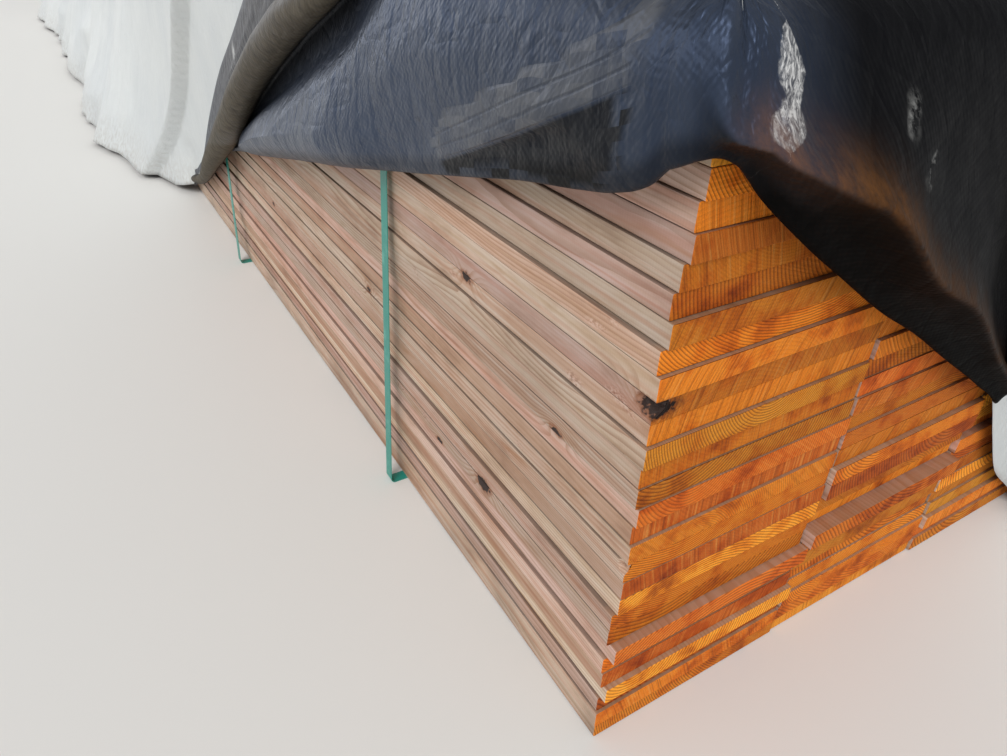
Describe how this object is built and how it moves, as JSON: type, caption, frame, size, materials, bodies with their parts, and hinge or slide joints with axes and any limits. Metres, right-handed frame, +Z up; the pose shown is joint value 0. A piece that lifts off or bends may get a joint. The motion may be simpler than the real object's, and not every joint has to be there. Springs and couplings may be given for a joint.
{
  "type": "stack of lumber",
  "caption": "Stack of wide planed boards, laid flat in close layers, held by plastic straps and covered by a loose lumber wrap lifted at one corner.",
  "frame": {"origin": "middle of the underside, on the surface that the stack lies on", "axes": "+X along the boards towards the open end, +Y across the stack away from the open side, +Z up"},
  "size_m": [5.2424, 1.5416, 0.6129],
  "materials": {
    "planed_softwood": "planed, dry, unfinished",
    "plastic_strap": "smooth, slightly glossy",
    "woven_wrap": "coated woven sheet, white outside and black inside"
  },
  "bodies": {
    "root": {"layer_01": "planed_softwood", "layer_02": "planed_softwood", "layer_03": "planed_softwood", "layer_04": "planed_softwood", "layer_05": "planed_softwood", "layer_06": "planed_softwood", "layer_07": "planed_softwood", "layer_08": "planed_softwood", "layer_09": "planed_softwood", "layer_10": "planed_softwood", "layer_11": "planed_softwood", "layer_12": "planed_softwood", "layer_13": "planed_softwood", "layer_14": "planed_softwood", "layer_15": "planed_softwood", "layer_16": "planed_softwood", "layer_17": "planed_softwood", "layer_18": "planed_softwood", "layer_19": "planed_softwood", "layer_20": "planed_softwood", "layer_21": "planed_softwood", "layer_22": "planed_softwood", "layer_23": "planed_softwood", "layer_24": "planed_softwood", "layer_25": "planed_softwood", "layer_26": "planed_softwood", "layer_27": "planed_softwood", "layer_28": "planed_softwood", "layer_29": "planed_softwood", "layer_30": "planed_softwood", "layer_31": "planed_softwood", "layer_32": "planed_softwood", "strap_1": "plastic_strap", "strap_2": "plastic_strap", "strap_3": "plastic_strap", "strap_4": "plastic_strap", "strap_5": "plastic_strap", "strap_6": "plastic_strap", "wrap": "woven_wrap"}
  },
  "joints": []
}
